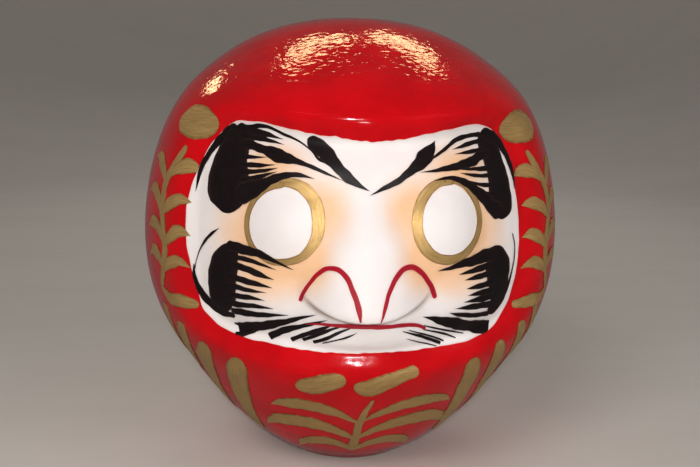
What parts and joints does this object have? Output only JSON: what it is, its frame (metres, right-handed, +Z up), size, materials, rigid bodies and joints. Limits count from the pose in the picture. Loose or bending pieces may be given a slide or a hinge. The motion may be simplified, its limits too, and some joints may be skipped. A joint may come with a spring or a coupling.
{
  "type": "daruma doll",
  "caption": "Round papier-mache daruma doll with a hooded bearded face, red lacquer body, gold brush strokes and a weighted clay foot.",
  "frame": {"origin": "middle of the foot, on the surface that the doll stands on", "axes": "+Z up, -Y the way the face looks, +X to the right of someone facing the doll"},
  "size_m": [0.284, 0.2882, 0.3],
  "materials": {
    "red_lacquer": "red paint under glossy varnish on papier-mache",
    "seam_paper": "pasted bast paper",
    "hide_glue": "dried glue",
    "foot_clay": "dried clay, dipped in red paint",
    "foot_paper": "pasted paper disc",
    "face_white": "matt shell-white paint with a peach blush",
    "gold_paint": "brushed gold paint",
    "black_ink": "satin black brush ink",
    "crimson_line": "crimson brush line"
  },
  "bodies": {
    "root": {"front_shell": "red_lacquer", "back_shell": "red_lacquer", "seam_strips_crown": "seam_paper", "seam_strips_left": "seam_paper", "seam_strips_right": "seam_paper", "base_weight": "foot_clay", "weight_glue": "hide_glue", "base_paper": "foot_paper"}
  },
  "joints": []
}
